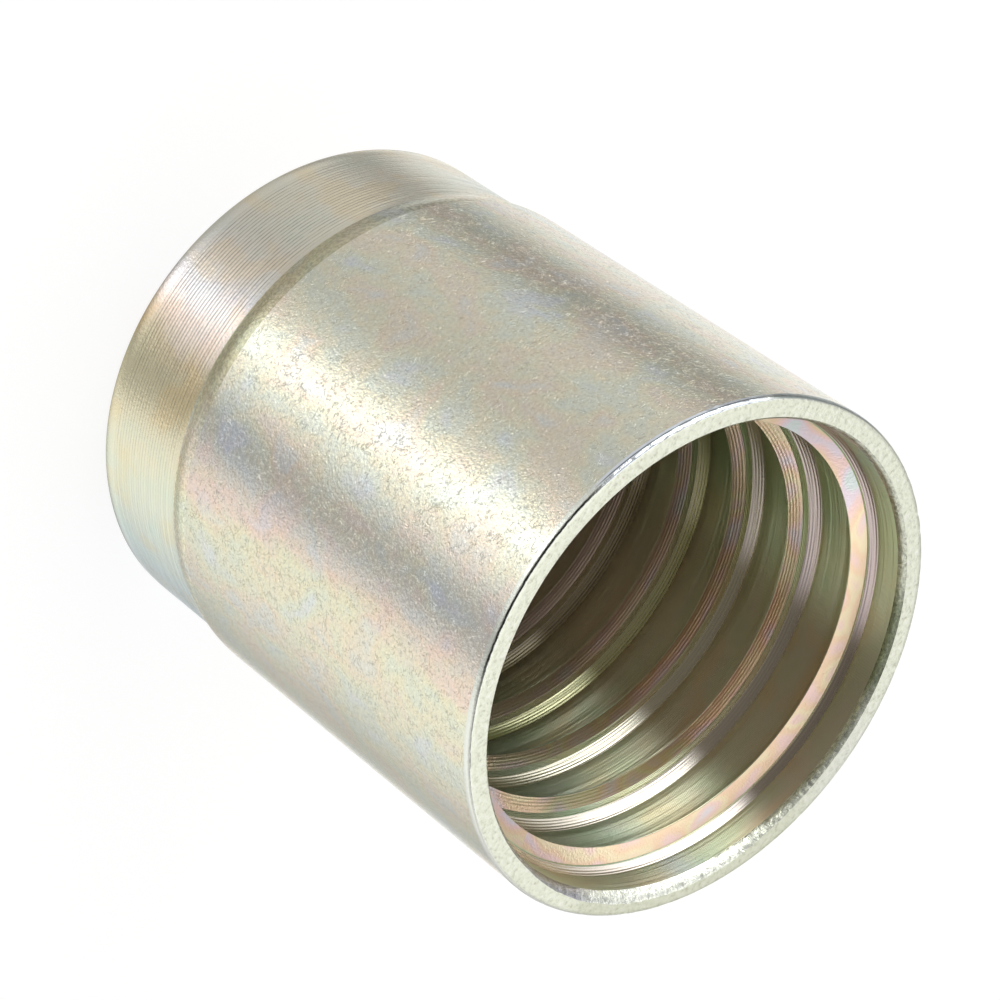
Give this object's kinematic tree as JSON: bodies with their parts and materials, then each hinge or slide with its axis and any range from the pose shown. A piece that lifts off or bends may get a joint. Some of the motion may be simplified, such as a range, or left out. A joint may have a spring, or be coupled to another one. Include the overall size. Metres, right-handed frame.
{
  "type": "hydraulic hose crimp ferrule",
  "caption": "Plated steel crimp ferrule: a thick-walled sleeve with sharp ring teeth in its bore, a slimmer turned collar and a lip at the closed-down end.",
  "frame": {"origin": "centre of the collar end face, on which the ferrule stands", "axes": "+Z along the ferrule's axis, from the collar end to the mouth that takes the hose; X and Y are any two directions across it"},
  "size_m": [0.036, 0.036, 0.0415],
  "materials": {
    "plated_steel": "yellow-passivated zinc plating with a pale rainbow sheen, matte on the body and turned on the collar and teeth"
  },
  "bodies": {
    "root": {"ferrule": "plated_steel"}
  },
  "joints": []
}
